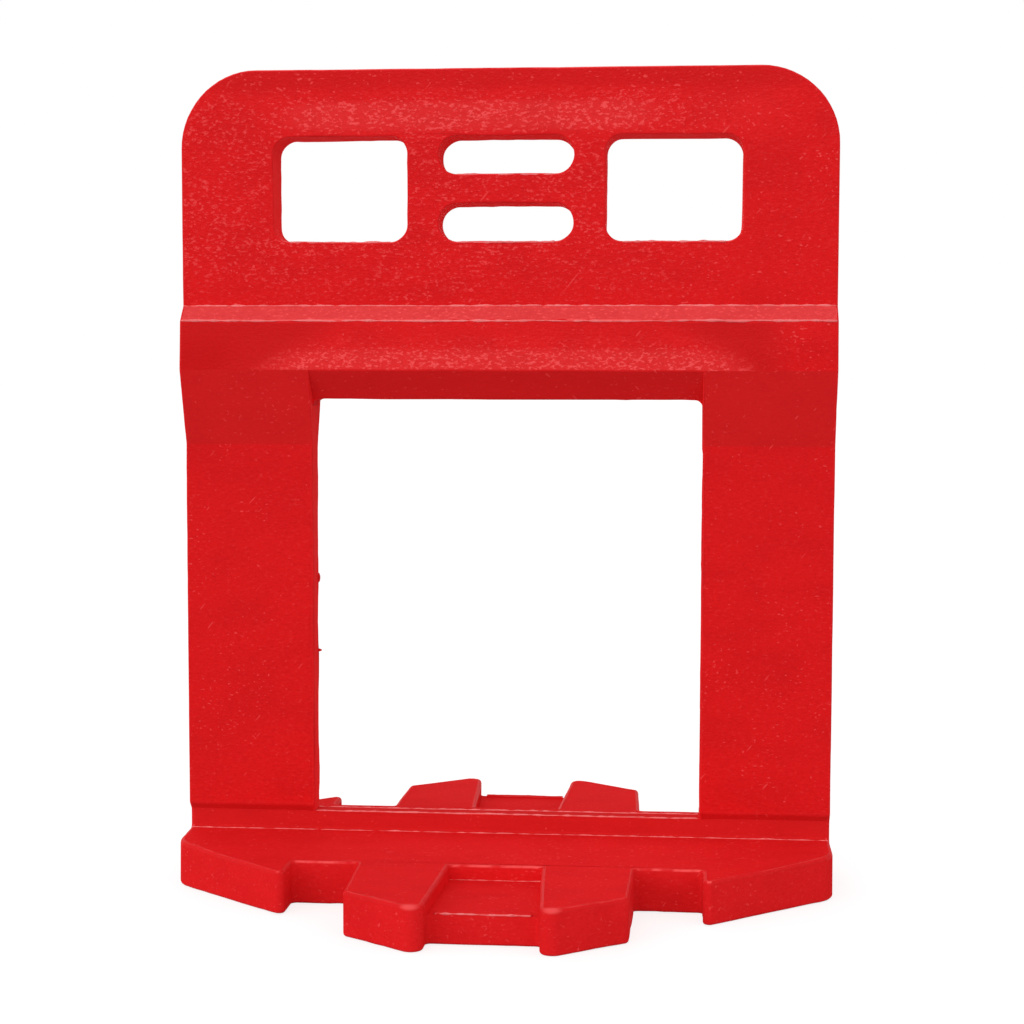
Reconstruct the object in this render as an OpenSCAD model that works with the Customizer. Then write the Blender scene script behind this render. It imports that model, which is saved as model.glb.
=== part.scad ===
// Tile levelling clip: a plate with a window for a wedge, standing on a flat base that
// lies under two tiles. The plate breaks off the base at a thin neck. One moulded piece,
// the same from front and back and from left and right. Sizes are in millimetres.
// Z is up, X runs along the plate, and the origin is the middle of the base's underside.

/* [Plate] */
// Width of the plate and of the base
plate_w = 34; // [32:0.5:46]
// Radius of the two top corners of the plate
top_corner_r = 4; // [1:0.1:6]
// Thickness of the grip, the plate above the bevel
grip_t = 2.2; // [1.6:0.1:3]
// Height of the grip above the bevel
grip_h = 12.15; // [11:0.05:18]

/* [Lintel] */
// Thickness of the lintel at its lower lip
lip_t = 4; // [3.8:0.1:6]
// How far each face of the lintel leans out from its top to its lip
lintel_flare = 0.2; // [0:0.02:0.3]
// Height of the lintel's face
lintel_h = 2.55; // [1.5:0.05:5]
// Height of the bevel between the lintel and the grip
bevel_h = 0.8; // [0.4:0.05:2]
// Height of the slope from the lip down to the flat of the legs
slope_h = 3.9; // [2:0.1:6]

/* [Legs and window] */
// Thickness of the legs, which is the joint left between the tiles
leg_t = 1.5; // [1.2:0.1:3]
// Height of the flat of the legs
leg_h = 19.2; // [14:0.1:26]
// Width of the window that the wedge goes through
window_w = 20.4; // [16:0.2:24]
// Height of the sloped underside of the lintel over the window
window_slope_h = 1.5; // [0.8:0.1:1.9]
// Radius of the window's top corners
window_r = 0.4; // [0.2:0.05:1]

/* [Neck] */
// Thickness of the neck that snaps when the plate is kicked off
neck_t = 0.9; // [0.6:0.05:1.1]
// Height of the neck, which is also the sill of the window
neck_h = 1; // [0.6:0.05:2]
// Height of the undercut between the neck and the legs
undercut_h = 0.37; // [0.2:0.01:0.8]
// Radius in the corner where the neck meets the base
neck_foot_r = 0.15; // [0.05:0.05:0.4]

/* [Grip holes] */
// Width of the two square holes
hole_w = 7; // [5:0.1:7.6]
// Height of the two square holes
hole_h = 5.4; // [4.4:0.1:6.4]
// Corner radius of the two square holes
hole_r = 0.85; // [0.3:0.05:1.6]
// Height of the holes above the bevel
hole_rise = 3.3; // [1:0.1:4]
// Length of the two slots
slot_w = 7; // [4:0.1:8]
// Height of each slot
slot_h = 1.95; // [1:0.05:2]
// Web between the slots and the square holes
hole_web = 1.65; // [1:0.05:2]

/* [Base] */
// Thickness of the base
base_t = 2.4; // [1.8:0.1:3.2]
// Reach of the middle strip from the plate's centre plane
strip_reach = 6.4; // [4.5:0.1:7.5]
// Width of each flat end of the base
end_w = 6.6; // [4:0.2:8]
// Radius where a flat end turns into a wing
end_r = 1.8; // [0.5:0.1:2]
// How far the top falls from the neck to the edge of the strip
crown = 0.2; // [0:0.02:0.4]

/* [Wings] */
// Distance between the inner sides of two facing wings
wing_gap_w = 20.6; // [18:0.2:24]
// Reach of the wings from the plate's centre plane
wing_reach = 8.8; // [8:0.1:12]
// Radius of a wing's tip
wing_tip_r = 0.3; // [0.1:0.05:0.5]

/* [Prongs] */
// Width over a pair of prongs where they leave the strip
prongs_w = 13.9; // [12:0.1:15]
// How far each outer side of the pair leans in towards its tip
prong_taper = 0.15; // [0:0.05:0.5]
// Reach of the prongs' outer corners from the plate's centre plane
prong_corner_reach = 11.8; // [10.5:0.1:13.5]
// Reach of the prongs' tips from the plate's centre plane
prong_tip_reach = 14.7; // [14:0.1:18]
// Radius of the prongs' outer corners
prong_corner_r = 0.45; // [0.1:0.05:0.8]
// Radius of the prongs' tips
prong_tip_r = 0.6; // [0.1:0.05:0.8]
// Radius in the corners beside the prongs
root_r = 0.25; // [0.1:0.05:0.4]

/* [Pocket] */
// Width of the pocket between two prongs, at the strip
pocket_w = 4.65; // [3:0.1:6]
// How far each side of the pocket leans out from the strip to the tips
pocket_flare = 0.42; // [0:0.02:0.6]
// Thickness of the pocket's floor
floor_t = 1.42; // [1:0.02:1.6]
// Reach of the pocket's floor from the plate's centre plane
floor_reach = 12.75; // [10.5:0.05:13]
// Height of the rim along the floor's edge
rim_h = 0.1; // [0.05:0.01:0.2]
// Depth of the rim along the floor's edge
rim_d = 0.4; // [0.2:0.05:0.8]
// Gap between each end of the rim and the prong beside it
rim_gap = 0.35; // [0.2:0.05:0.8]

/* [Hidden] */
$fn = 64;
clip_colour = [0.85, 0.11, 0.13];

// How far cutting shapes run past what they cut, and joined shapes run into each other
overrun = 0.5;

// Heights of the plate's features above the underside of the base
neck_top = base_t + neck_h;
leg_foot = neck_top + undercut_h;
leg_top = leg_foot + leg_h;
lip_z = leg_top + slope_h;
lintel_top = lip_z + lintel_h;
grip_foot = lintel_top + bevel_h;
plate_top = grip_foot + grip_h;
window_top = lip_z - window_slope_h;
hole_foot = grip_foot + hole_rise;
hole_x = slot_w / 2 + hole_web + hole_w / 2;

// Half widths across the plate's centre plane
half_w = plate_w / 2;
half_window = window_w / 2;

// Half thicknesses of the plate, from the neck up
half_neck = neck_t / 2;
half_leg = leg_t / 2;
half_lip = lip_t / 2;
half_lintel = half_lip - lintel_flare;
half_grip = grip_t / 2;

// Half width of the pocket at a distance from the plate's centre plane
function pocket_half(reach) =
    pocket_w / 2 + pocket_flare * (reach - strip_reach) / (prong_tip_reach - strip_reach);

// One quarter of the base's outline from the flat end to the pocket: x, y and corner radius
base_quarter = [
    [half_w, end_w / 2, end_r],
    [wing_gap_w / 2, wing_reach, wing_tip_r],
    [wing_gap_w / 2, strip_reach, root_r],
    [prongs_w / 2, strip_reach, root_r],
    [prongs_w / 2 - prong_taper, prong_corner_reach, prong_corner_r],
    [pocket_half(prong_tip_reach), prong_tip_reach, prong_tip_r],
    [pocket_half(floor_reach), floor_reach, root_r],
];

// The quarter turned over in x and y, with its order kept going round the outline
function turned_over(corners, x_sign, y_sign) =
    let (last = len(corners) - 1, back = x_sign * y_sign < 0)
    [for (i = [0 : last])
        let (c = corners[back ? last - i : i])
        [x_sign * c[0], y_sign * c[1], c[2]]];

base_corners = concat(
    turned_over(base_quarter, 1, 1),
    turned_over(base_quarter, -1, 1),
    turned_over(base_quarter, -1, -1),
    turned_over(base_quarter, 1, -1)
);

function flat_point(corner) = [corner[0], corner[1]];
function unit(v) = v / norm(v);
function turn(a, b) = a[0] * b[1] - a[1] * b[0];

// The sliver between a corner and the arc that rounds it, drawn a little past the corner
module corner_sliver(corner, to_last, to_next, r) {
    half_angle = acos(to_last * to_next) / 2;
    tangent = r / tan(half_angle);
    centre = corner + unit(to_last + to_next) * r / sin(half_angle);
    difference() {
        polygon([
            corner + to_last * tangent,
            corner + (corner - centre) * overrun,
            corner + to_next * tangent,
        ]);
        translate(centre)
            circle(r);
    }
}

// Slivers at the outward corners of a counter-clockwise outline, or at the inward ones
module slivers(corners, outward) {
    count = len(corners);
    for (i = [0 : count - 1]) {
        corner = flat_point(corners[i]);
        to_last = unit(flat_point(corners[(i + count - 1) % count]) - corner);
        to_next = unit(flat_point(corners[(i + 1) % count]) - corner);
        is_outward = turn(to_next, to_last) > 0;
        if (corners[i][2] > 0 && is_outward == outward)
            corner_sliver(corner, to_last, to_next, corners[i][2]);
    }
}

// A counter-clockwise outline whose corners, given as x, y and radius, are true arcs
module rounded_outline(corners) {
    difference() {
        union() {
            polygon([for (c = corners) flat_point(c)]);
            slivers(corners, false);
        }
        slivers(corners, true);
    }
}

// A rectangle from its lower left corner, with one radius below and one above
module rounded_rect(x, y, w, h, r_low, r_high) {
    rounded_outline([
        [x, y, r_low],
        [x + w, y, r_low],
        [x + w, y + h, r_high],
        [x, y + h, r_high],
    ]);
}

// An upright shape drawn in X and Z, given its depth along Y about the centre plane
module along_y(depth) {
    rotate([90, 0, 0])
        linear_extrude(height = depth, center = true)
            children();
}

// A section drawn in Y and Z, run along X about the middle of the plate
module along_x(length) {
    rotate([90, 0, 90])
        linear_extrude(height = length, center = true)
            children();
}

// One slot with round ends, its lower edge at the given height
module slot(foot) {
    r = slot_h / 2;
    translate([r - slot_w / 2, foot])
        square([slot_w - slot_h, slot_h]);
    for (side = [-1, 1])
        translate([side * (slot_w / 2 - r), foot + r])
            circle(r);
}

// The plate seen from the front: round top corners, the window and the grip's holes
module front_outline() {
    difference() {
        rounded_rect(-half_w, base_t - overrun, plate_w, plate_top - base_t + overrun, 0, top_corner_r);
        rounded_rect(-half_window, neck_top, window_w, window_top - neck_top, 0, window_r);
        for (side = [-1, 1])
            rounded_rect(side * hole_x - hole_w / 2, hole_foot, hole_w, hole_h, hole_r, hole_r);
        slot(hole_foot);
        slot(hole_foot + hole_h - slot_h);
    }
}

// Half of the plate's section, from the foot in the base up to the top edge
half_section = [
    [half_neck, base_t - overrun],
    [half_neck, neck_top],
    [half_leg, leg_foot],
    [half_leg, leg_top],
    [half_lip, lip_z],
    [half_lintel, lintel_top],
    [half_grip, grip_foot],
    [half_grip, plate_top],
];

// The plate seen from the end: neck, undercut, leg, slope, lintel, bevel and grip
module plate_section() {
    last = len(half_section) - 1;
    polygon(concat(
        half_section,
        [for (i = [last : -1 : 0]) [-half_section[i][0], half_section[i][1]]]
    ));
    for (side = [0, 1])
        mirror([side, 0])
            neck_fillet();
}

// The fillet along the foot of the neck, rooted in the base and the neck
module neck_fillet() {
    difference() {
        translate([0, base_t - overrun])
            square([half_neck + neck_foot_r, overrun + neck_foot_r]);
        translate([half_neck + neck_foot_r, base_t + neck_foot_r])
            circle(neck_foot_r);
    }
}

// What is cut off one side of the lintel to slope its underside over the window
module lintel_slope_cut() {
    polygon([
        [half_leg, window_top],
        [half_lip, lip_z],
        [half_lip + overrun, lip_z],
        [half_lip + overrun, window_top - overrun],
        [half_leg, window_top - overrun],
    ]);
}

module plate() {
    difference() {
        intersection() {
            along_y(lip_t + overrun) front_outline();
            along_x(plate_w) plate_section();
        }
        for (side = [0, 1])
            mirror([0, side, 0])
                along_x(window_w) lintel_slope_cut();
    }
}

// The base seen from the end: flat below, crowned over the strip and level beyond it
module base_section() {
    edge_t = base_t - crown;
    polygon([
        [-prong_tip_reach, 0],
        [prong_tip_reach, 0],
        [prong_tip_reach, edge_t],
        [strip_reach, edge_t],
        [half_neck, base_t],
        [-half_neck, base_t],
        [-strip_reach, edge_t],
        [-prong_tip_reach, edge_t],
    ]);
}

// The pocket between two prongs, open at the top and at the tips
module pocket_cut() {
    reach = floor_reach + overrun;
    translate([0, 0, floor_t])
        linear_extrude(height = base_t)
            polygon([
                [-pocket_w / 2, strip_reach],
                [pocket_w / 2, strip_reach],
                [pocket_half(reach), reach],
                [-pocket_half(reach), reach],
            ]);
}

// The low rim along the edge of the pocket's floor
module rim() {
    half = pocket_half(floor_reach - rim_d) - rim_gap;
    translate([-half, floor_reach - rim_d, floor_t - overrun])
        cube([2 * half, rim_d, overrun + rim_h]);
}

module base() {
    difference() {
        intersection() {
            linear_extrude(height = base_t)
                rounded_outline(base_corners);
            along_x(plate_w) base_section();
        }
        for (side = [0, 1])
            mirror([0, side, 0])
                pocket_cut();
    }
    for (side = [0, 1])
        mirror([0, side, 0])
            rim();
}

module clip() {
    color(clip_colour) {
        plate();
        base();
    }
}

clip();
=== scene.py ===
"""The look of a red moulded tile levelling clip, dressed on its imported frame.

The clip is modelled again in millimetres from the frame's own mesh, with rounded and slightly uneven
edges, and then scaled to metres. Thin lines of flash lie on it as a second piece. The rest is the
finish of the plastic, the studio, the light and the camera.
"""

import math

import bmesh
import bpy
from mathutils import Matrix, Vector, noise


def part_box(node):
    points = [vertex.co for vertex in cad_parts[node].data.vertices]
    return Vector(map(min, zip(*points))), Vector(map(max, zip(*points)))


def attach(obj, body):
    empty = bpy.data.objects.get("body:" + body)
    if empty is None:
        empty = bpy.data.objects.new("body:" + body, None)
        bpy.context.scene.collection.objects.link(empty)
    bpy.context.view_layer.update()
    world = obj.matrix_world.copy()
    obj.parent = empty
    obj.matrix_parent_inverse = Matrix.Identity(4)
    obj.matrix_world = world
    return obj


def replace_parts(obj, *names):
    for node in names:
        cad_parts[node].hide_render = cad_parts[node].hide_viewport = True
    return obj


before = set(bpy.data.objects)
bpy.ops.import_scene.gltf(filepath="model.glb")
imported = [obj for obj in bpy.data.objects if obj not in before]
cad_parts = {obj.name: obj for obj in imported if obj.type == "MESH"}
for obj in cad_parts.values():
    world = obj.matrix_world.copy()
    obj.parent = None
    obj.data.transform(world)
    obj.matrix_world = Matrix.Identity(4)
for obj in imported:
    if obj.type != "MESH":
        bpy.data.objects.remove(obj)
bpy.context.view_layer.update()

MM = 0.001
NODE = "clip"
BODY = "root"

# Heights of the clip's features above its underside, in millimetres
CROWN_FOOT = 2.2
BASE_TOP = 2.4
SILL = 3.4
LEG_FOOT = 3.77
LEG_TOP = 22.97
WINDOW_TURN = 24.97
WINDOW_TOP = 25.37
LIP = 26.87
LINTEL_TOP = 29.42
GRIP_FOOT = 30.22
HOLES_FOOT = 33.52
UPPER_SLOT_FOOT = 36.97
SLOT_MIDDLES = (34.495, 37.945)

# Half widths and half thicknesses of the clip's features, in millimetres
HALF_PLATE = 17.0
HALF_WINDOW = 10.2
HALF_NECK = 0.45
HALF_LEG = 0.75
HALF_LINTEL = 1.8
HALF_GRIP = 1.1

# The fillet at the neck's foot, and how far out the crown of the base ends, in millimetres
NECK_FILLET = 0.15
CROWN_REACH = 6.05

# The straight lower edges of the grip's holes and slots, in millimetres
HOLE_MIDDLE = 8.65
HALF_HOLE = 2.65
HALF_SLOT = 2.525

# All openings of the grip lie within this reach and below this height, in millimetres
HOLES_REACH = 14.0
HOLES_TOP = 40.0

# The pocket between the prongs, and the rim on the edge of its floor, in millimetres
POCKET_BACK = 6.4
POCKET_FLOOR = 1.42
HALF_POCKET = 2.32
FLOOR_REACH = 12.75
RIM_TOP = 1.52
HALF_RIM = 2.27

# Where that rim's edges lie, in millimetres: beyond this reach and between these heights
RIM_REACH = 12.3
RIM_LOW = 1.4
RIM_HIGH = 1.55

# Widths of the rounded edges, in millimetres, and the number of faces across a rounding
WIDEST_EDGE = 0.2
BASE_EDGE = 0.2
SOLE_EDGE = 0.12
RIM_EDGE = 0.035
SILL_EDGE = 0.06
SLOPE_EDGE = 0.05
PLATE_EDGE = 0.11
EDGE_STEPS = 3

# How near corners have to be to be joined, in millimetres
WELD = 0.008

# Angles: faces flatter than the first are made one, and edges sharper than the second are rounded
FLAT = math.radians(0.5)
SHARP = math.radians(30)

# Angles: faces that meet between the first two look smooth, and a rounding follows faces within the third
FOLD = math.radians(2.2)
CREASE = math.radians(12)
BEND = math.radians(50)

# The cosine of the tilt that an upright face may have
UPRIGHT = math.cos(math.radians(10))

# The unevenness of the edges: the length of a piece, and the size and grain per millimetre of two waves
EDGE_PIECE = 0.45
WAVES = ((0.022, 0.35), (0.012, 1.6))

# How much larger these waves are round the openings
OPENING_WAVES = 2.2

# The seed of the noise that moves corners
SEED = 7
noise.seed_set(SEED)

# The axes across which the mesh is cut
Y = 1
Z = 2

# Finishes, in the order of the moulding's material slots
GRAINED, SATIN, BASE, EDGE, BEVEL, WALL = range(6)

# Sockets of a Mix node that blends colours: its two colours and its result
MIX_FIRST = 6
MIX_SECOND = 7
MIX_RESULT = 2


def srgb(red, green, blue):
    """A colour given as 0 to 255, in Blender's linear numbers, by the curve of the sRGB standard."""
    shares = [c / 255 for c in (red, green, blue)]
    return (*[s / 12.92 if s <= 0.04045 else ((s + 0.055) / 1.055) ** 2.4 for s in shares], 1.0)


class Nodes:
    """Makes and joins the nodes of one tree in short lines."""

    def __init__(self, tree):
        self.tree = tree
        tree.nodes.clear()

    def add(self, kind, sockets=None, **settings):
        """A node with its settings, each socket given a value or linked to an output."""
        node = self.tree.nodes.new("ShaderNode" + kind)
        for name, value in settings.items():
            setattr(node, name, value)
        for key, value in (sockets or {}).items():
            if isinstance(value, bpy.types.NodeSocket):
                self.tree.links.new(value, node.inputs[key])
            else:
                node.inputs[key].default_value = value
        return node

    def place(self, stretch=(1, 1, 1)):
        """Places on the piece in millimetres, stretched along the axes."""
        own = self.add("TexCoord").outputs["Object"]
        scale = [s / MM for s in stretch]
        return self.add("VectorMath", {0: own, 1: scale}, operation="MULTIPLY").outputs[0]

    def noise(self, place, scale, detail=2.0, roughness=0.5):
        """A noise between 0 and 1, with scale waves to the millimetre."""
        sockets = {"Vector": place, "Scale": scale, "Detail": detail, "Roughness": roughness}
        return self.add("TexNoise", sockets).outputs["Fac"]

    def grain(self, stretch, scale, detail, roughness):
        """A noise over places that are stretched along the axes."""
        return self.noise(self.place(stretch), scale, detail, roughness)

    def range(self, value, low, high, to_low=0.0, to_high=1.0):
        """A value moved smoothly from one range to another and held inside it."""
        sockets = {"Value": value, "From Min": low, "From Max": high, "To Min": to_low, "To Max": to_high}
        return self.add("MapRange", sockets, interpolation_type="SMOOTHSTEP").outputs["Result"]

    def blend(self, share, first, second):
        """A colour between two colours."""
        sockets = {0: share, MIX_FIRST: first, MIX_SECOND: second}
        return self.add("Mix", sockets, data_type="RGBA").outputs[MIX_RESULT]

    def math(self, operation, first, second=0.0):
        """The result of one sum."""
        return self.add("Math", {0: first, 1: second}, operation=operation).outputs[0]


# Reds of each kind of face: the darker and the paler one, between which its ground varies
PLATE_REDS = (srgb(202, 21, 24), srgb(221, 24, 27))
DULL_REDS = (srgb(206, 30, 32), srgb(215, 33, 35))
# The openings' walls: the plastic's red made paler by painted light, for the light that comes through them
WALL_REDS_PAINTED_LIGHT = (srgb(232, 38, 40), srgb(241, 42, 44))
# The base: the plastic's red made paler by painted light, making up for the shade near the floor
BASE_REDS_PAINTED_LIGHT = (srgb(217, 28, 31), srgb(230, 33, 36))
EDGE_REDS = (srgb(212, 29, 31), srgb(224, 33, 36))
# The bevel: pinkish reds that paint the highlight on its upturned face
BEVEL_HIGHLIGHT_REDS = (srgb(214, 54, 56), srgb(228, 66, 68))
# The flash lines: pale reds that paint the highlight these thin lines catch
FLASH_HIGHLIGHT_REDS = (srgb(228, 60, 62), srgb(246, 130, 130))

# The red of the painted glints (specks, dots and flecks), of scratches and of the painted highlights on edges
# and tips, and the tint of the sheen
PALE_RED = srgb(252, 90, 91)
SHINE_TINT = srgb(255, 130, 130)

# The plastic's noises: stretch along the axes, waves to the millimetre, detail and roughness
MOTTLE = ((0.6, 1.0, 1.0), 0.6, 3.0, 0.5)
FINE = ((0.6, 1.0, 1.2), 6.5, 2.0, 0.6)
DOTS = ((0.75, 1.0, 1.2), 6.8, 0.0, 0.5)
PITS = ((0.65, 1.0, 1.2), 6.8, 2.0, 0.6)

# How much of the paler red a noise gives: two values of the noise and the share at each
MOTTLE_SHARES = (0.3, 0.62, 0.6, 1.0)
FINE_SHARES = (0.3, 0.48, 0.5, 1.0)

# The values of the fine noise where a speck, a glint of the grain painted pale, starts and is full
SPECK_EDGES = (0.57, 0.74)

# The crowds in which dots, painted glints, stand: waves to the millimetre, two values and where a dot starts
# at each
CROWD_WAVES = 0.25
CROWD_STARTS = (0.45, 0.62, 0.77, 0.69)

# How far above its start, by the value of its noise, a dot is full
DOT_EDGE = 0.1

# How the roughness varies: two values of the fine noise, and how far it goes each way
ROUGH_FROM = (0.3, 0.7)
ROUGH_SWING = 0.04

# Hair scratches: two slants in radians, and how their noise is drawn out
SCRATCH_TURNS = ((0.6, 0.75, 0.5), (0.3, -0.5, -0.8))
SCRATCH_STRETCH = (0.9, 7.0, 7.0)
SCRATCH_WAVES = 1.0

# The values of that noise where a line starts and is full, and how pale it is
SCRATCH_EDGES = (0.82, 0.87)
SCRATCH_PALE = 0.4

# Painted highlights on edges that run along the plate and face up: the parts of a normal at which the
# highlight starts and is full, one along X and two upwards
LEVEL_EDGES = (0.38, 0.2)
OVER_SIDES = (0.3, 0.6)
UNDER_TOPS = (0.97, 0.85)

# The noise that breaks those painted highlights: waves to the millimetre, and the values where they start and
# are full
HIGHLIGHT_WAVES = 1.1
HIGHLIGHT_BREAKS = (0.3, 0.6)

# The prongs' tips, where a highlight is painted: their place in millimetres, and how the painted spot is
# squeezed
PRONG_TIP = (3.3, 14.1, 2.15)
TIP_STRETCH = (0.8, 1.0, 2.5)

# How far from that place the painted highlight ends and is full, in millimetres, and how pale it is
TIP_HIGHLIGHT = (0.55, 0.1)
TIP_PALE = 0.8

# Sinks, in millimetres: heights where each starts and is full, and how far it then comes forward
GRIP_SINK = (38.7, 41.3, -0.2)
LINTEL_SINK = (28.7, 25.6, 0.28)

# How far from the middle the sinks and the lintel's band end and are full, in millimetres
SINK_ENDS = (15.5, 12.0)

# Bands of painted highlight with dense flecks, in millimetres: heights where each starts, is full, starts to
# fade and ends
GRIP_BAND = (38.0, 39.7, 40.3, 41.6)
LINTEL_BAND = (26.5, 26.8, 27.5, 29.0)

# How far from the middle the grip's painted highlight band ends and is full, in millimetres
GRIP_ENDS = (17.0, 9.0)

# The grip's sparser painted flecks below its band: two heights in millimetres and the share at each
GRIP_FLECKS = (29.0, 33.0, 0.0, 0.6)

# How the grip's painted flecks grow fewer to the right: two places in millimetres and the share at each
GRIP_FADE = (13.0, 5.0, 0.2, 1.0)

# Where a fleck starts, by the noise of the pits: two shares of the bands and the value at each
FLECK_STARTS = (0.6, 1.0, 0.55, 0.49)

# How far above its start a fleck is full, and how pale it is
FLECK_EDGE = 0.14
FLECK_PALE = 0.72

# How pale the ground between the flecks is, a painted sheen: two shares of the bands and the paleness at each
FLECK_GROUND = (0.6, 1.0, 0.0, 0.14)

# The depth of the pits that go with the flecks, in millimetres
PIT_DEPTH = 0.05

# The lintel's plain ends, darkened by painted shade: how far from the middle they start and are full at the
# lip, in millimetres
PLAIN_ENDS = (10.8, 14.0)

# How far that start leans in for each millimetre up, and where the right end stops, in millimetres
PLAIN_LEAN = 1.5
PLAIN_STOP = (15.0, 12.8)

# Painted shade on the legs' tops and the grip's top: two heights in millimetres and how much of the paler red
# is left
LEG_PAINTED_SHADE = (22.97, 17.0, 0.7, 1.0)
TOP_PAINTED_SHADE = (41.1, 41.7, 1.0, 0.5)


def over_legs(nodes, along):
    """0 on the legs, and 1 from where the window's top turns."""
    return nodes.range(along["Z"], LEG_TOP, WINDOW_TURN)


def sinks(nodes, along):
    """How far the sunken faces stand forward, in millimetres: their slopes catch the light from above."""
    beside = nodes.math("ABSOLUTE", along["X"])
    start, full, depth = GRIP_SINK
    grip = nodes.range(along["Z"], start, full, 0.0, depth)
    grip = nodes.math("MULTIPLY", grip, nodes.range(beside, *SINK_ENDS))
    start, full, depth = LINTEL_SINK
    lintel = nodes.range(along["Z"], start, full, 0.0, depth)
    lintel = nodes.math("MULTIPLY", lintel, nodes.range(beside, *SINK_ENDS, -1.0, 1.0))
    return nodes.math("ADD", grip, nodes.math("MULTIPLY", lintel, over_legs(nodes, along)))


def bands(nodes, along):
    """Where the bands of painted highlight have dense flecks: 1 in the middle of a band, less on the grip's
    right, 0 on the legs.
    """
    beside = nodes.math("ABSOLUTE", along["X"])
    shares = []
    for (start, full, fading, end), ends in ((GRIP_BAND, GRIP_ENDS), (LINTEL_BAND, SINK_ENDS)):
        rising = nodes.math("MULTIPLY", nodes.range(along["Z"], start, full), nodes.range(beside, *ends))
        shares.append(nodes.math("MULTIPLY", rising, nodes.range(along["Z"], end, fading)))
    grip, lintel = shares
    fading, end = GRIP_BAND[2:]
    under_top = nodes.range(along["Z"], end, fading)
    sparse = nodes.math("MULTIPLY", under_top, nodes.range(along["Z"], *GRIP_FLECKS))
    grip = nodes.math("MAXIMUM", grip, sparse)
    grip = nodes.math("MULTIPLY", grip, nodes.range(along["X"], *GRIP_FADE))
    return nodes.math("MAXIMUM", grip, lintel)


def painted_band_highlight(nodes, pits, share):
    """How pale the bands are, by the noise of their pits: a painted highlight of flecks on a ground that is a
    little paler too.
    """
    start = nodes.range(share, *FLECK_STARTS)
    strokes = nodes.range(pits, start, nodes.math("ADD", start, FLECK_EDGE), 0.0, FLECK_PALE)
    strokes = nodes.math("MULTIPLY", share, strokes)
    return nodes.math("MAXIMUM", strokes, nodes.range(share, *FLECK_GROUND))


def painted_shade_ends(nodes, along):
    """Where the lintel's ends are plain and darkened by painted shade: 1 there and 0 elsewhere."""
    leaning = nodes.math("MULTIPLY", nodes.math("SUBTRACT", along["Z"], LIP), PLAIN_LEAN)
    beside = nodes.math("ADD", nodes.math("ABSOLUTE", along["X"]), leaning)
    ends = nodes.math("MULTIPLY", nodes.range(beside, *PLAIN_ENDS), nodes.range(along["X"], *PLAIN_STOP))
    under_grip = nodes.range(along["Z"], GRIP_FOOT, LINTEL_TOP)
    return nodes.math("MULTIPLY", ends, nodes.math("MULTIPLY", over_legs(nodes, along), under_grip))


def painted_shade(nodes, along):
    """How much of the paler red is left: less at the legs' tops and the grip's top, where shade is painted.
    """
    legs = nodes.math("MAXIMUM", nodes.range(along["Z"], *LEG_PAINTED_SHADE), over_legs(nodes, along))
    return nodes.math("MULTIPLY", legs, nodes.range(along["Z"], *TOP_PAINTED_SHADE))


def painted_edge_and_tip_highlights(nodes, place):
    """Painted highlights: pale on the prongs' tips and on the edges that run along the plate and face up."""
    facing = nodes.add("SeparateXYZ", {0: nodes.add("NewGeometry").outputs["Normal"]}).outputs
    level = nodes.range(nodes.math("ABSOLUTE", facing["X"]), *LEVEL_EDGES)
    upward = nodes.range(facing["Z"], *OVER_SIDES)
    upward = nodes.math("MULTIPLY", upward, nodes.range(facing["Z"], *UNDER_TOPS))
    broken = nodes.range(nodes.noise(place, HIGHLIGHT_WAVES), *HIGHLIGHT_BREAKS)
    edges = nodes.math("MULTIPLY", nodes.math("MULTIPLY", level, upward), broken)
    either_side = nodes.add("VectorMath", {0: place}, operation="ABSOLUTE").outputs[0]
    apart = nodes.add("VectorMath", {0: either_side, 1: PRONG_TIP}, operation="SUBTRACT").outputs[0]
    squeezed = nodes.add("VectorMath", {0: apart, 1: TIP_STRETCH}, operation="MULTIPLY").outputs[0]
    away = nodes.add("VectorMath", {0: squeezed}, operation="LENGTH").outputs["Value"]
    return nodes.math("MAXIMUM", edges, nodes.range(away, *TIP_HIGHLIGHT, 0.0, TIP_PALE))


def scratches(nodes, turn):
    """Sparse short hair lines at a slant, 1 on a line and 0 beside it."""
    turned = nodes.add("Mapping", {"Vector": nodes.place(), "Rotation": turn}).outputs[0]
    drawn = nodes.add("VectorMath", {0: turned, 1: SCRATCH_STRETCH}, operation="MULTIPLY").outputs[0]
    return nodes.range(nodes.noise(drawn, SCRATCH_WAVES, detail=0.0), *SCRATCH_EDGES)


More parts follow.
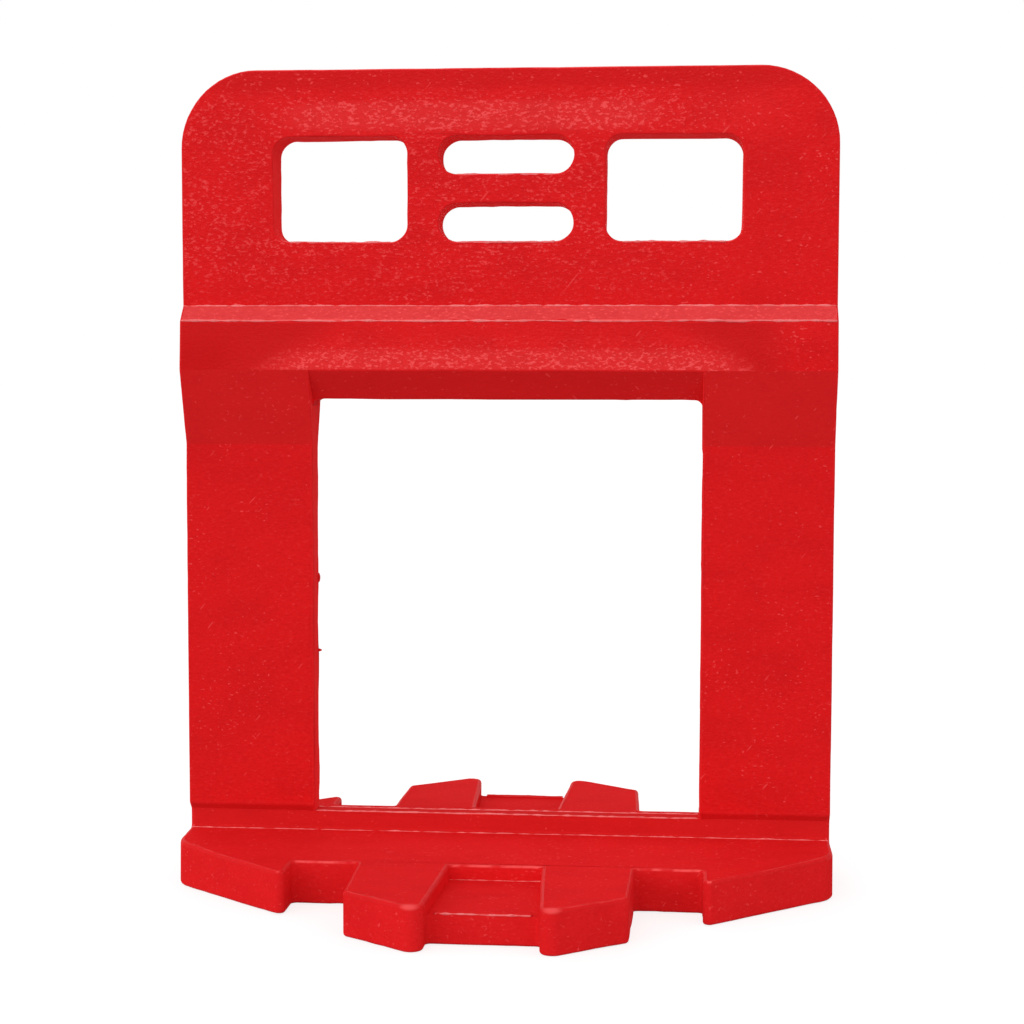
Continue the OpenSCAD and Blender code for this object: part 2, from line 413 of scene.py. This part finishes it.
def plastic(name, reds, shine, roughness, grain, specks, flecks=0.0, painted_highlight=0.0, sunken=False):
    """Red plastic, with the plate's sinks, bands of painted highlight and painted shade if it is sunken.

    Grain is its height in millimetres, and specks, flecks and the painted highlight are how pale those places
    are; the specks and flecks are glints of the grain painted pale.
    """
    material = bpy.data.materials.new(name)
    material.use_nodes = True
    nodes = Nodes(material.node_tree)
    place = nodes.place()
    along = nodes.add("SeparateXYZ", {0: place}).outputs
    mottle = nodes.range(nodes.grain(*MOTTLE), *MOTTLE_SHARES)
    fine = nodes.grain(*FINE)
    ground = nodes.math("MULTIPLY", mottle, nodes.range(fine, *FINE_SHARES))
    pale = nodes.range(fine, *SPECK_EDGES, 0.0, specks)
    start = nodes.range(nodes.noise(place, CROWD_WAVES), *CROWD_STARTS)
    dots = nodes.range(nodes.grain(*DOTS), start, nodes.math("ADD", start, DOT_EDGE), 0.0, flecks)
    pale = nodes.math("MAXIMUM", pale, dots)
    lines = nodes.math("MAXIMUM", *[scratches(nodes, turn) for turn in SCRATCH_TURNS])
    pale = nodes.math("MAXIMUM", pale, nodes.math("MULTIPLY", lines, SCRATCH_PALE))
    if painted_highlight:
        pale = nodes.math("MAXIMUM", pale, nodes.math("MULTIPLY", painted_edge_and_tip_highlights(nodes, place), painted_highlight))
    grained = {"Height": fine, "Distance": grain * MM}
    if sunken:
        pits = nodes.grain(*PITS)
        share = bands(nodes, along)
        # Painted shade darkens the lintel's ends and the tops of the legs and grip, and painted highlight
        # brightens the bands
        clear = nodes.math("SUBTRACT", 1.0, painted_shade_ends(nodes, along))
        pale = nodes.math("MAXIMUM", pale, painted_band_highlight(nodes, pits, share))
        pale = nodes.math("MULTIPLY", pale, clear)
        ground = nodes.math("MULTIPLY", ground, nodes.math("MULTIPLY", clear, painted_shade(nodes, along)))
        sunk = nodes.add("Bump", {"Height": sinks(nodes, along), "Distance": MM}).outputs[0]
        pitted = {"Height": pits, "Distance": PIT_DEPTH * MM, "Strength": share, "Normal": sunk}
        grained["Normal"] = nodes.add("Bump", pitted).outputs[0]
    shader = nodes.add("BsdfPrincipled", {
        "Base Color": nodes.blend(pale, nodes.blend(ground, *reds), PALE_RED),
        "Roughness": nodes.range(fine, *ROUGH_FROM, roughness - ROUGH_SWING, roughness + ROUGH_SWING),
        "Specular IOR Level": shine,
        "Specular Tint": SHINE_TINT,
        "Normal": nodes.add("Bump", grained).outputs[0],
    })
    nodes.add("OutputMaterial", {"Surface": shader.outputs[0]})
    return material


FINISHES = (
    plastic("grained_plastic", PLATE_REDS, shine=0.17, roughness=0.28, grain=0.02, specks=0.12, flecks=0.45,
            sunken=True),
    plastic("satin_plastic", DULL_REDS, shine=0.003, roughness=0.6, grain=0.01, specks=0.04, flecks=0.2),
    plastic("base_plastic_painted_light", BASE_REDS_PAINTED_LIGHT, shine=0.003, roughness=0.6, grain=0.02, specks=0.1, flecks=0.3,
            painted_highlight=0.9),
    plastic("edge_plastic", EDGE_REDS, shine=0.03, roughness=0.5, grain=0.015, specks=0.15, painted_highlight=0.9),
    # The bevel's pinkish reds, full specks and flecks paint the highlight on its upturned face
    plastic("bevel_plastic_painted_highlight", BEVEL_HIGHLIGHT_REDS, shine=0.1, roughness=0.5, grain=0.015, specks=1.0, flecks=0.7),
    plastic("wall_plastic_painted_light", WALL_REDS_PAINTED_LIGHT, shine=0.003, roughness=0.6, grain=0.01, specks=0.04),
)
# The flash lines are real, and their pale reds paint the highlight that they catch
FLASH_FINISH = plastic("flash_plastic_painted_highlight", FLASH_HIGHLIGHT_REDS, shine=0.3, roughness=0.4, grain=0.006, specks=0.5)


# The moulding
def cut(solid, axis, place):
    """Cuts all faces that cross a plane at a place on one axis."""
    normal = Vector((0, 0, 0))
    normal[axis] = 1
    everything = solid.verts[:] + solid.edges[:] + solid.faces[:]
    bmesh.ops.bisect_plane(solid, geom=everything, dist=WELD, plane_co=normal * place, plane_no=normal)


def clean_solid(mesh):
    """The frame's mesh in millimetres, with split corners joined and flat faces made whole."""
    solid = bmesh.new()
    solid.from_mesh(mesh)
    bmesh.ops.scale(solid, vec=(1 / MM,) * 3, verts=solid.verts)
    bmesh.ops.remove_doubles(solid, verts=solid.verts, dist=WELD)
    # The crown's foot moves in a little, so that it stays clear of the rounded edges of the recesses
    for place in (-CROWN_REACH, CROWN_REACH):
        cut(solid, Y, place)
    for vertex in solid.verts:
        if CROWN_FOOT < vertex.co.z < BASE_TOP - WELD and abs(vertex.co.y) > CROWN_REACH - WELD:
            vertex.co.z = CROWN_FOOT
    solid.normal_update()
    bmesh.ops.dissolve_limit(solid, angle_limit=FLAT, verts=solid.verts, edges=solid.edges)
    # Level seams through the slots take the place of slanted ones between the grip's openings
    for place in SLOT_MIDDLES:
        cut(solid, Z, place)
    seams = [e for e in solid.edges if e.calc_face_angle(0.0) < FLAT and e.verts[0].co.z > GRIP_FOOT]
    slanted = [e for e in seams if abs(e.verts[0].co.z - e.verts[1].co.z) > WELD]
    bmesh.ops.dissolve_edges(solid, edges=slanted)
    return solid


def edge_width(edge):
    """How wide an edge is rounded, by where it lies. Inner corners and the window's top stay sharp."""
    ends = [v.co for v in edge.verts]
    middle = (ends[0] + ends[1]) / 2
    at_window_top = WINDOW_TURN < middle.z < WINDOW_TOP + SILL_EDGE and abs(middle.x) <= HALF_WINDOW
    if not edge.is_convex or at_window_top and abs(middle.y) < HALF_LEG + SILL_EDGE:
        return 0.0
    if all(RIM_LOW < e.z < RIM_HIGH and abs(e.y) > RIM_REACH for e in ends):
        return RIM_EDGE if middle.z > (RIM_LOW + RIM_HIGH) / 2 - RIM_EDGE else 0.0
    if all(e.z < WELD for e in ends):
        return SOLE_EDGE
    if all(abs(e.z - SILL) < SILL_EDGE for e in ends):
        return SILL_EDGE
    if LEG_TOP < middle.z < LIP and abs(middle.x) < HALF_PLATE - PLATE_EDGE:
        return SLOPE_EDGE
    return BASE_EDGE if middle.z < SILL else PLATE_EDGE


def finish_of(face):
    """The finish of a face, by its place and where it looks."""
    middle = face.calc_center_median()
    if middle.z < BASE_TOP + WELD:
        return BASE
    if LINTEL_TOP < middle.z < GRIP_FOOT and abs(face.normal.x) < FLAT:
        return BEVEL
    in_grip = GRIP_FOOT < middle.z < HOLES_TOP and abs(middle.x) < HOLES_REACH
    if in_grip and abs(face.normal.y) < FLAT:
        return WALL
    in_window = middle.z > SILL and abs(middle.x) < HALF_WINDOW + WELD
    if in_window and abs(face.normal.x) > UPRIGHT:
        return WALL
    upright = abs(face.normal.y) > UPRIGHT
    return GRAINED if upright and middle.z > LEG_FOOT else SATIN


def split_edges(solid, edges):
    """Cuts long edges into short pieces and returns all pieces."""
    pieces = []
    for edge in edges:
        count = math.ceil(edge.calc_length() / EDGE_PIECE)
        for left in range(count, 1, -1):
            first, _ = bmesh.utils.edge_split(edge, edge.verts[0], 1 / left)
            pieces.append(first)
        pieces.append(edge)
    return pieces


def uneven(place):
    """A place moved a little by smooth noise, further on the base and round the openings than elsewhere."""
    more = 1 + max(0.0, BASE_TOP - place.z) / BASE_TOP
    at_window = LEG_FOOT < place.z < WINDOW_TOP + SILL_EDGE and abs(place.x) < HALF_WINDOW + WELD
    at_holes = HOLES_FOOT - WELD < place.z < HOLES_TOP and abs(place.x) < HOLES_REACH
    if at_window or at_holes:
        more = OPENING_WAVES
    return place + sum((more * size * noise.noise_vector(place * grain) for size, grain in WAVES), Vector())


def held(place, low, high):
    """A place kept inside the box of the clip."""
    return Vector(max(a, min(b, p)) for p, a, b in zip(place, low, high))


def hold_flat(mesh):
    """Sets the corner normals so that flat faces stay flat while arcs and rounded edges are smooth."""
    faces = mesh.polygons
    normals = [f.normal.copy() for f in faces]
    areas = [f.area for f in faces]
    plain = [[] for _ in mesh.vertices]
    rounded = [[] for _ in mesh.vertices]
    for face in faces:
        for vertex in face.vertices:
            (rounded if face.material_index == EDGE else plain)[vertex].append(face.index)
    corners = []
    for face in faces:
        own = normals[face.index]
        for vertex in face.vertices:
            if face.material_index == EDGE:
                near = [f for f in plain[vertex] if own.angle(normals[f], 0.0) < BEND] or rounded[vertex]
            else:
                near = [f for f in plain[vertex] if FOLD < own.angle(normals[f], 0.0) < CREASE]
                near.append(face.index)
            total = sum((normals[f] * areas[f] for f in near), Vector())
            corners.append(total.normalized())
    faces.foreach_set("use_smooth", [True] * len(faces))
    mesh.normals_split_custom_set(corners)


def dress(name, mesh):
    """A piece of the clip from a mesh in millimetres."""
    mesh.transform(Matrix.Scale(MM, 4))
    piece = bpy.data.objects.new(name, mesh)
    bpy.context.scene.collection.objects.link(piece)
    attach(piece, BODY)
    return piece


def rounded_mesh(solid):
    """The solid's mesh with its weighted edges rounded, the round faces in the EDGE slot."""
    rough = bpy.data.meshes.new("rough")
    solid.to_mesh(rough)
    solid.free()
    for finish in FINISHES:
        rough.materials.append(finish)
    holder = bpy.data.objects.new("rough", rough)
    bpy.context.scene.collection.objects.link(holder)
    rounding = holder.modifiers.new("rounding", "BEVEL")
    rounding.limit_method = "WEIGHT"
    rounding.width = WIDEST_EDGE
    rounding.segments = EDGE_STEPS
    rounding.use_clamp_overlap = False
    rounding.loop_slide = False
    rounding.material = EDGE
    seen = holder.evaluated_get(bpy.context.evaluated_depsgraph_get())
    mesh = bpy.data.meshes.new_from_object(seen)
    bpy.data.objects.remove(holder)
    bpy.data.meshes.remove(rough)
    return mesh


def moulding():
    """The clip itself, with rounded and uneven edges and a finish for each of its faces."""
    solid = clean_solid(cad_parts[NODE].data)
    low, high = [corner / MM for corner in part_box(NODE)]
    weight = solid.edges.layers.float.new("bevel_weight_edge")
    for face in solid.faces:
        face.material_index = finish_of(face)
    pieces = split_edges(solid, [e for e in solid.edges if e.calc_face_angle(0.0) > SHARP])
    for piece in pieces:
        piece[weight] = edge_width(piece) / WIDEST_EDGE
    for vertex in {v for piece in pieces for v in piece.verts}:
        vertex.co = held(uneven(vertex.co), low, high)
    mesh = rounded_mesh(solid)
    for vertex in mesh.vertices:
        vertex.co = held(vertex.co, low, high)
    hold_flat(mesh)
    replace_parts(dress("clip_moulding", mesh), NODE)


moulding()


# Flash lines: the step of their rings in millimetres, a ring's corners, and the share of an edge they cover
FLASH_STEP = 0.1
FLASH_SIDES = 6
FLASH_SHARE = 0.995

# The size of a torn line, in shares of its radius: least, usual and swing, with its grain per millimetre
THINNEST = 0.2
USUAL = 0.7
SWING = 0.9
SWING_GRAIN = 2.6

# How far a line wanders, in shares of its radius, with the grain per millimetre of that
WANDER = 0.5
WANDER_GRAIN = 0.8

# Radii of the lines, in millimetres
LINTEL_FLASH = 0.07
GRIP_FLASH = 0.06
NECK_FLASH = 0.05
RIM_FLASH = 0.06
POCKET_FLASH = 0.03
HOLE_FLASH = 0.065

# How far below the rim's top its line lies, in millimetres
RIM_DROP = 0.05

# How far the middle of a rounding lies inside its edge, and where the openings' lines lie, in millimetres
ON_ROUND = PLATE_EDGE * (1 - math.sqrt(0.5))
HOLE_DEPTH = HALF_GRIP - ON_ROUND
HOLE_LINE = HOLES_FOOT - ON_ROUND
UPPER_SLOT_LINE = UPPER_SLOT_FOOT - ON_ROUND

# The lines, in millimetres: middle and half length along X, depth, height and radius
FLASH_LINES = (
    (0.0, HALF_PLATE, HALF_LINTEL, LINTEL_TOP, LINTEL_FLASH),
    (0.0, HALF_PLATE, HALF_GRIP, GRIP_FOOT, GRIP_FLASH),
    (0.0, HALF_WINDOW, HALF_NECK, SILL, NECK_FLASH),
    (0.0, HALF_PLATE, HALF_NECK + NECK_FILLET, BASE_TOP, NECK_FLASH),
    (0.0, HALF_RIM, FLOOR_REACH, RIM_TOP - RIM_DROP, RIM_FLASH),
    (0.0, HALF_POCKET, POCKET_BACK, POCKET_FLOOR, POCKET_FLASH),
    (-HOLE_MIDDLE, HALF_HOLE, HOLE_DEPTH, HOLE_LINE, HOLE_FLASH),
    (HOLE_MIDDLE, HALF_HOLE, HOLE_DEPTH, HOLE_LINE, HOLE_FLASH),
    (0.0, HALF_SLOT, HOLE_DEPTH, HOLE_LINE, HOLE_FLASH),
    (0.0, HALF_SLOT, HOLE_DEPTH, UPPER_SLOT_LINE, HOLE_FLASH),
)

# Burrs on the inner side of the left leg, in millimetres: height, reach and half height
BURRS = ((15.8, 0.12, 0.28), (11.9, 0.2, 0.08))

# How finely a burr is divided, and its material slot
BURR_STEPS = 2
BURR_SLOT = 1


def flash_bead(lines, middle, half_length, depth, height, radius):
    """One torn bead along X, thick and thin by noise, added to the mesh of all lines."""
    count = round(2 * half_length / FLASH_STEP)
    rings = []
    for i in range(count + 1):
        x = middle + half_length * (2 * i / count - 1) * FLASH_SHARE
        seed = Vector((x, depth, height))
        size = radius * max(THINNEST, USUAL + SWING * noise.noise(seed * SWING_GRAIN))
        wander = noise.noise_vector(seed * WANDER_GRAIN) * radius * WANDER
        centre = Vector((x, depth + wander.y, height + wander.z))
        ring = []
        for side in range(FLASH_SIDES):
            turn = 2 * math.pi * side / FLASH_SIDES
            ring.append(lines.verts.new(centre + size * Vector((0, math.cos(turn), math.sin(turn)))))
        rings.append(ring)
    for first, second in zip(rings, rings[1:]):
        for side in range(FLASH_SIDES):
            after = (side + 1) % FLASH_SIDES
            lines.faces.new((first[side], second[side], second[after], first[after]))
    lines.faces.new(rings[0])
    lines.faces.new(rings[-1][::-1])


def flash():
    """Torn lines of thin plastic on the front and on the back, where the mould's parts met, and the burrs."""
    lines = bmesh.new()
    for middle, half_length, depth, height, radius in FLASH_LINES:
        for side in (-1, 1):
            flash_bead(lines, middle, half_length, side * depth, height, radius)
    for height, reach, half_height in BURRS:
        size = Matrix.Diagonal((reach, reach, half_height, 1))
        place = Matrix.Translation((-HALF_WINDOW, HALF_LEG - reach, height))
        burr = bmesh.ops.create_icosphere(lines, subdivisions=BURR_STEPS, radius=1, matrix=place @ size)
        for face in {f for v in burr["verts"] for f in v.link_faces}:
            face.material_index = BURR_SLOT
    bmesh.ops.recalc_face_normals(lines, faces=lines.faces)
    mesh = bpy.data.meshes.new("flash_lines")
    lines.to_mesh(mesh)
    lines.free()
    mesh.polygons.foreach_set("use_smooth", [True] * len(mesh.polygons))
    mesh.materials.append(FLASH_FINISH)
    mesh.materials.append(FINISHES[SATIN])
    dress("flash_lines", mesh)


flash()


# The studio's floor: its size and how far it lies below the clip, in metres
FLOOR_SIZE = 6.0
FLOOR_DROP = 0.02 * MM

# The floor's grey where it only throws light back, and its grey and glow where it is seen
FLOOR_LIT = srgb(202, 202, 202)
FLOOR_SEEN = srgb(150, 150, 150)
FLOOR_GLOW = 0.79

# The strengths of the light from all round and of the white background
WHITE = (1.0, 1.0, 1.0, 1.0)
AMBIENT = 0.62
BACKGROUND = 1.0

# The lamp above and behind the camera: place and aim in millimetres, watts, and width and height in metres
BROW_PLACE = (-20, -250, 142)
BROW_AIM = (0, 0, 34)
BROW_WATTS = 0.09
BROW_WIDTH = 0.11
BROW_HEIGHT = 0.065

# Soft suns: name, place in millimetres and strength
SUNS = (
    ("left", (-300, -200, 110), 1.1),
    ("right", (300, -120, 100), 0.5),
    ("back", (-150, 300, 250), 0.42),
    ("front", (-60, -400, 60), 0.25),
)

# Where the suns aim, in millimetres, and the angle that softens them
SUN_AIM = (0, 0, 20)
SUN_ANGLE = math.radians(60)


def looks(nodes):
    """1 for the rays that show the background: from the camera, from a sheen and through glass."""
    ray = nodes.add("LightPath").outputs
    mirrored = nodes.math("MAXIMUM", ray["Is Glossy Ray"], ray["Is Transmission Ray"])
    return nodes.math("MAXIMUM", ray["Is Camera Ray"], mirrored)


def floor():
    """A plain pale floor that shows the clip's shadow."""
    material = bpy.data.materials.new("pale_floor")
    material.use_nodes = True
    nodes = Nodes(material.node_tree)
    lit = nodes.add("BsdfDiffuse", {"Color": FLOOR_LIT})
    grey = nodes.add("BsdfDiffuse", {"Color": FLOOR_SEEN})
    glow = nodes.add("Emission", {"Color": WHITE, "Strength": FLOOR_GLOW})
    seen = nodes.add("AddShader", {0: grey.outputs[0], 1: glow.outputs[0]})
    mixed = nodes.add("MixShader", {0: looks(nodes), 1: lit.outputs[0], 2: seen.outputs[0]})
    nodes.add("OutputMaterial", {"Surface": mixed.outputs[0]})
    bpy.ops.mesh.primitive_plane_add(size=FLOOR_SIZE, location=(0, 0, -FLOOR_DROP))
    plane = bpy.context.object
    plane.name = "floor"
    plane.data.materials.append(material)


def surroundings():
    """Even soft light from all round, with a white background."""
    world = bpy.data.worlds.new("studio")
    world.use_nodes = True
    nodes = Nodes(world.node_tree)
    soft = nodes.add("Background", {"Color": WHITE, "Strength": AMBIENT})
    white = nodes.add("Background", {"Color": WHITE, "Strength": BACKGROUND})
    mixed = nodes.add("MixShader", {0: looks(nodes), 1: soft.outputs[0], 2: white.outputs[0]})
    nodes.add("OutputWorld", {"Surface": mixed.outputs[0]})
    bpy.context.scene.world = world


def lamp(name, kind, place, target, **settings):
    """A lamp at a place, aimed at another, both in millimetres."""
    data = bpy.data.lights.new(name, kind)
    for key, value in settings.items():
        setattr(data, key, value)
    thing = bpy.data.objects.new(name, data)
    thing.location = Vector(place) * MM
    way = Vector(target) * MM - thing.location
    thing.rotation_euler = way.to_track_quat("-Z", "Y").to_euler()
    thing.visible_camera = False
    bpy.context.scene.collection.objects.link(thing)


def lamps():
    """The lamp over the camera and the soft suns."""
    lamp("brow", "AREA", BROW_PLACE, BROW_AIM, energy=BROW_WATTS, shape="RECTANGLE",
         size=BROW_WIDTH, size_y=BROW_HEIGHT)
    for name, place, strength in SUNS:
        lamp(name, "SUN", place, SUN_AIM, energy=strength, angle=SUN_ANGLE)


floor()
surroundings()
lamps()


# The photograph's camera: place in millimetres and turns in degrees
CAMERA_PLACE = (8.709, -100.788, 26.778)
CAMERA_YAW = -4.793
CAMERA_PITCH = -4.146
CAMERA_ROLL = 0.122

# Its focal length and image width in pixels
FOCAL_PX = 1926.4
IMAGE_PX = 1024

# Its sensor's width and the nearest distance that it shows, in millimetres
SENSOR = 36.0
NEAREST = 5.0


def camera():
    """The camera that shows the clip as the photograph does."""
    data = bpy.data.cameras.new("camera")
    data.sensor_width = SENSOR
    data.lens = FOCAL_PX / IMAGE_PX * SENSOR
    data.clip_start = NEAREST * MM
    thing = bpy.data.objects.new("camera", data)
    yaw, pitch, roll = [math.radians(a) for a in (CAMERA_YAW, CAMERA_PITCH, CAMERA_ROLL)]
    upright = Matrix.Rotation(-yaw, 4, "Z") @ Matrix.Rotation(math.pi / 2 + pitch, 4, "X")
    place = Matrix.Translation(Vector(CAMERA_PLACE) * MM)
    thing.matrix_world = place @ upright @ Matrix.Rotation(roll, 4, "Z")
    bpy.context.scene.collection.objects.link(thing)
    bpy.context.scene.camera = thing


camera()
bpy.context.scene.view_settings.view_transform = "Standard"
